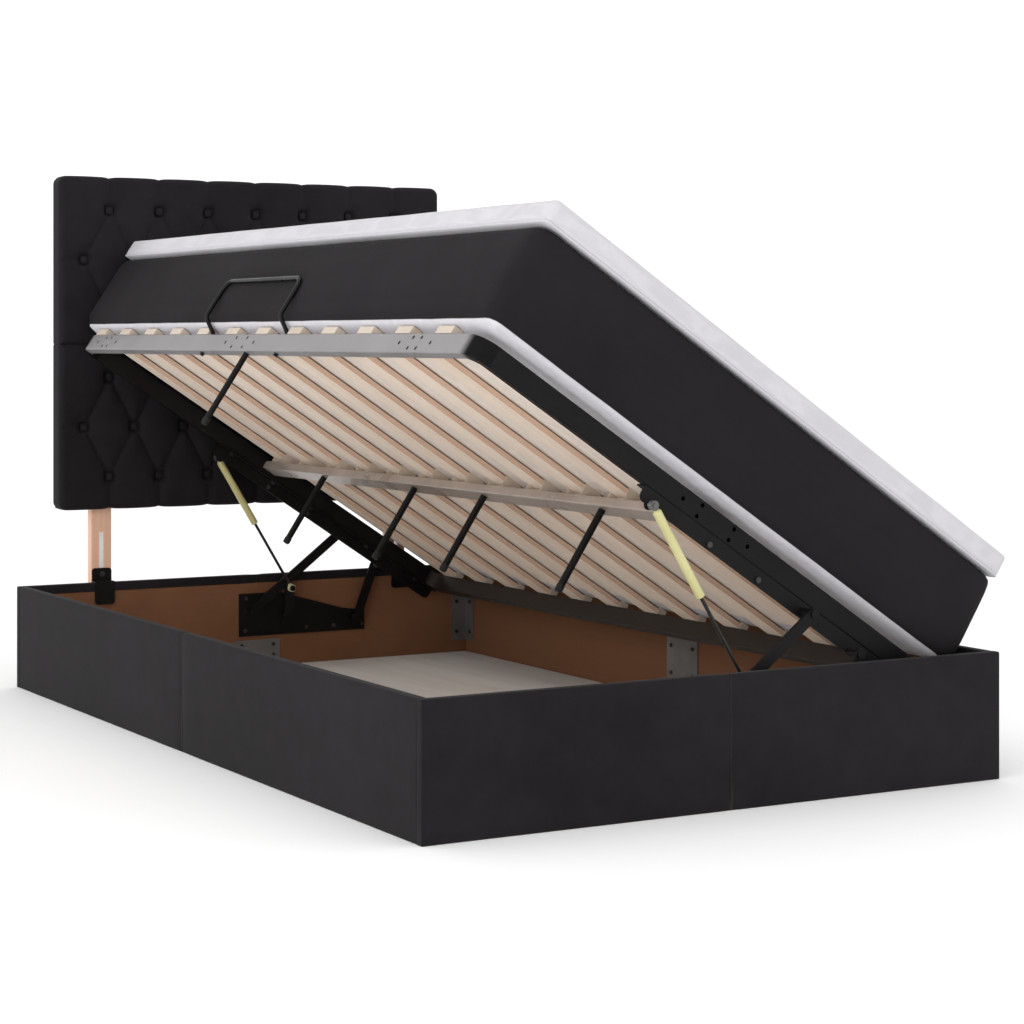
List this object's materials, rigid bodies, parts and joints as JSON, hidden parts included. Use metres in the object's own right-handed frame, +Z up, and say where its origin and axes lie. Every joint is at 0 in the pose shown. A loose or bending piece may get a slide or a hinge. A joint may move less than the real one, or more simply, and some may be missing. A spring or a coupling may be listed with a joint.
{
  "type": "storage bed",
  "caption": "Side-lift storage bed: upholstered box and tufted headboard, with a slatted platform, mattress and topper that lift on gas struts.",
  "frame": {"origin": "on the floor, at the centre of the box's footprint", "axes": "+Z up, +Y along the length of the bed to the headboard, +X across it from the opening side to the hinge side"},
  "size_m": [1.2347, 2.069, 1.185],
  "materials": {
    "velvet_black": "matte",
    "board_brown": "matte",
    "hardboard": "matte",
    "pine": "matte",
    "beech": "satin",
    "birch": "satin",
    "steel_grey": "satin",
    "steel_black": "satin",
    "zinc": "satin",
    "cap_cream": "matte",
    "foot_black": "matte",
    "strut_yellow": "satin",
    "mattress_cloth": "matte",
    "topper_cloth": "matte"
  },
  "bodies": {
    "root": {"side_board_open_foot": "board_brown", "side_cover_open_foot": "velvet_black", "side_board_open_head": "board_brown", "side_cover_open_head": "velvet_black", "side_board_hinge_foot": "board_brown", "side_cover_hinge_foot": "velvet_black", "side_board_hinge_head": "board_brown", "side_cover_hinge_head": "velvet_black", "foot_board_open": "board_brown", "foot_cover_open": "velvet_black", "foot_board_hinge": "board_brown", "foot_cover_hinge": "velvet_black", "head_board_open": "board_brown", "head_cover_open": "velvet_black", "head_board_hinge": "board_brown", "head_cover_hinge": "velvet_black", "base_battens": "pine", "base_board_foot": "hardboard", "base_board_head": "hardboard", "corner_brackets": "steel_black", "joining_plates": "steel_black", "panel_screws": "zinc", "headboard_clips": "steel_black", "headboard_bolts": "steel_black", "lift_plate_foot": "steel_black", "lift_plate_head": "steel_black", "strut_bracket_foot": "steel_black", "strut_bracket_head": "steel_black"},
    "headboard": {"headboard_lower_pad": "velvet_black", "headboard_upper_pad": "velvet_black", "headboard_lower_core": "board_brown", "headboard_upper_core": "board_brown", "headboard_buttons": "velvet_black", "headboard_legs": "beech", "headboard_strips": "zinc"},
    "link_arms": {"link_arm_foot": "steel_black", "link_arm_head": "steel_black"},
    "platform": {"frame_rail_open": "steel_grey", "frame_rail_hinge": "steel_black", "frame_rail_foot": "steel_black", "frame_rail_head": "steel_black", "frame_rail_centre": "steel_grey", "slats_open_row": "birch", "slats_hinge_row": "birch", "slat_caps_side": "cap_cream", "slat_caps_centre": "cap_cream", "support_legs": "steel_black", "support_feet": "foot_black", "lift_handle": "steel_black", "lift_bar_foot": "steel_black", "lift_bar_head": "steel_black", "lift_bar_bolts": "zinc", "mattress": "mattress_cloth", "topper": "topper_cloth"},
    "rear_links": {"rear_link_foot": "steel_black", "rear_link_head": "steel_black"},
    "strut_rods": {"strut_rod_foot": "steel_black", "strut_rod_head": "steel_black"},
    "strut_cylinders": {"strut_cylinder_foot": "strut_yellow", "strut_cylinder_head": "strut_yellow"}
  },
  "joints": [
    {"name": "lift", "type": "hinge", "parent": "root", "child": "link_arms", "pos_m": [-0.01719, 0, 0.15135], "axis": [0, 1, 0], "range_deg": [0, 34.9]},
    {"name": "platform_turn", "type": "hinge", "parent": "link_arms", "child": "platform", "pos_m": [0.2039, 0, 0.321], "axis": [0, 1, 0], "range_deg": [-68.5, 0.1]},
    {"name": "rear_link_turn", "type": "hinge", "parent": "root", "child": "rear_links", "pos_m": [0.25797, 0, 0.11257], "axis": [0, 1, 0], "range_deg": [-0.1, 51.9]},
    {"name": "strut_turn", "type": "hinge", "parent": "root", "child": "strut_rods", "pos_m": [0.074, 0, 0.2], "axis": [0, 1, 0], "range_deg": [-72.4, 0.1]},
    {"name": "strut_slide", "type": "slide", "parent": "strut_rods", "child": "strut_cylinders", "axis": [-0.5169, 0, 0.856], "range_m": [-0.177, 0.0002]},
    {"name": "headboard_height", "type": "slide", "parent": "root", "child": "headboard", "axis": [0, 0, 1], "range_m": [-0.09, 0.09]}
  ],
  "couplings": [
    {"joint": "platform_turn", "follows": "lift", "ratio": -1.955},
    {"joint": "rear_link_turn", "follows": "lift", "ratio": 1.48},
    {"joint": "strut_turn", "follows": "lift", "ratio": -2.0677},
    {"joint": "strut_slide", "follows": "lift", "m_per_rad": -0.28997}
  ]
}
